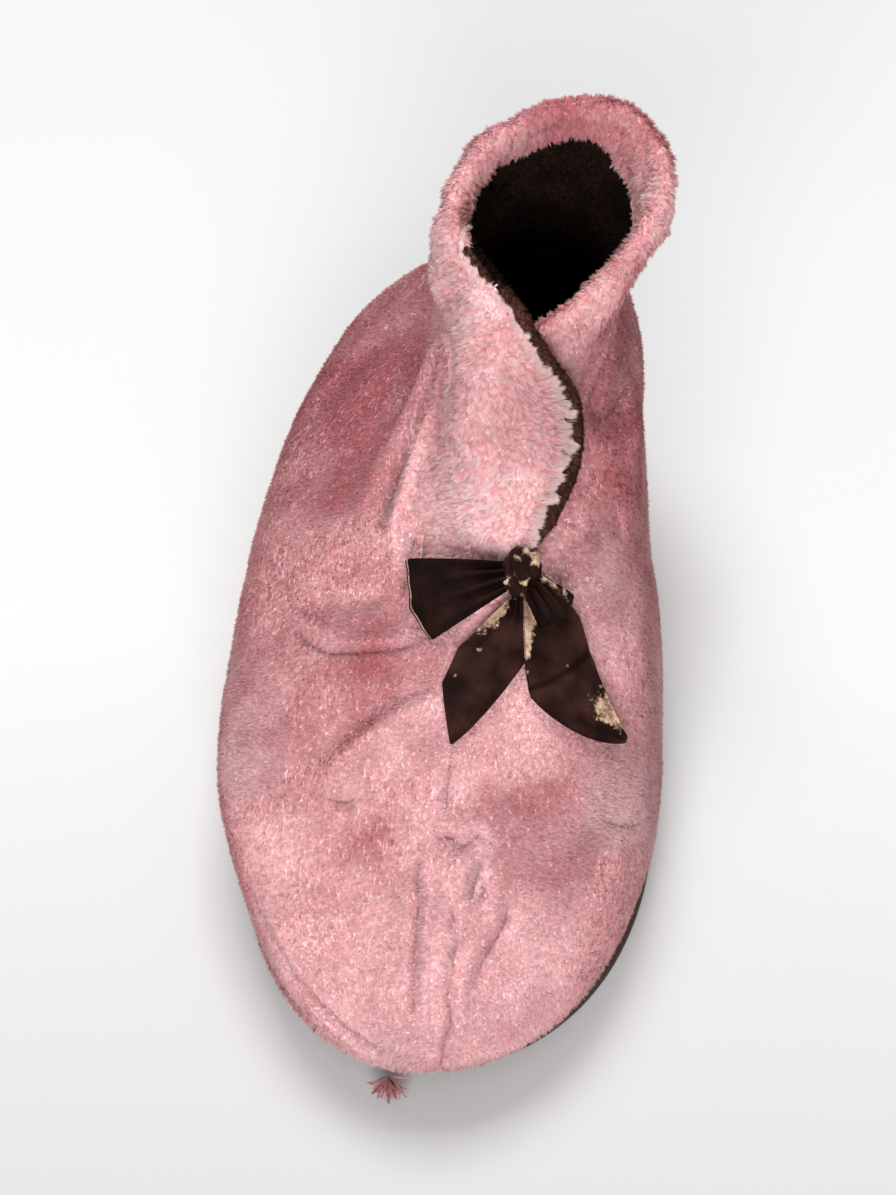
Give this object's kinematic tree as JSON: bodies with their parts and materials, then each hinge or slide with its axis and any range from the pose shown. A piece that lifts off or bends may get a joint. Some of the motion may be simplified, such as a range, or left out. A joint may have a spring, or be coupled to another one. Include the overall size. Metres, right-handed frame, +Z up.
{
  "type": "bootie slipper",
  "caption": "Left plush bootie slipper: hollow wrap upper with fleece lining, soft banded cloth sole and a ribbon bow at the throat, worn on the foot indoors.",
  "frame": {"origin": "centre of the bounding box footprint, on the floor below the sole", "axes": "+Z up, -Y towards the toe, +Y towards the heel, +X towards the outer side of the left foot"},
  "size_m": [0.1233, 0.258, 0.1499],
  "materials": {
    "pile_cloth": "matt brushed pile, light pink",
    "lining_fleece": "matt short fleece, dark brown",
    "sole_cloth": "matt woven cloth, dark brown",
    "ribbon": "fine ribbed ribbon, dark brown, worn light at the edges"
  },
  "bodies": {
    "root": {"outsole": "sole_cloth", "sole_band": "pile_cloth", "insole": "lining_fleece", "upper": "pile_cloth", "lap_edging": "lining_fleece", "bow_knot": "ribbon", "bow_loop_left": "ribbon", "bow_loop_right": "ribbon", "bow_tail_left": "ribbon", "bow_tail_right": "ribbon"}
  },
  "joints": []
}
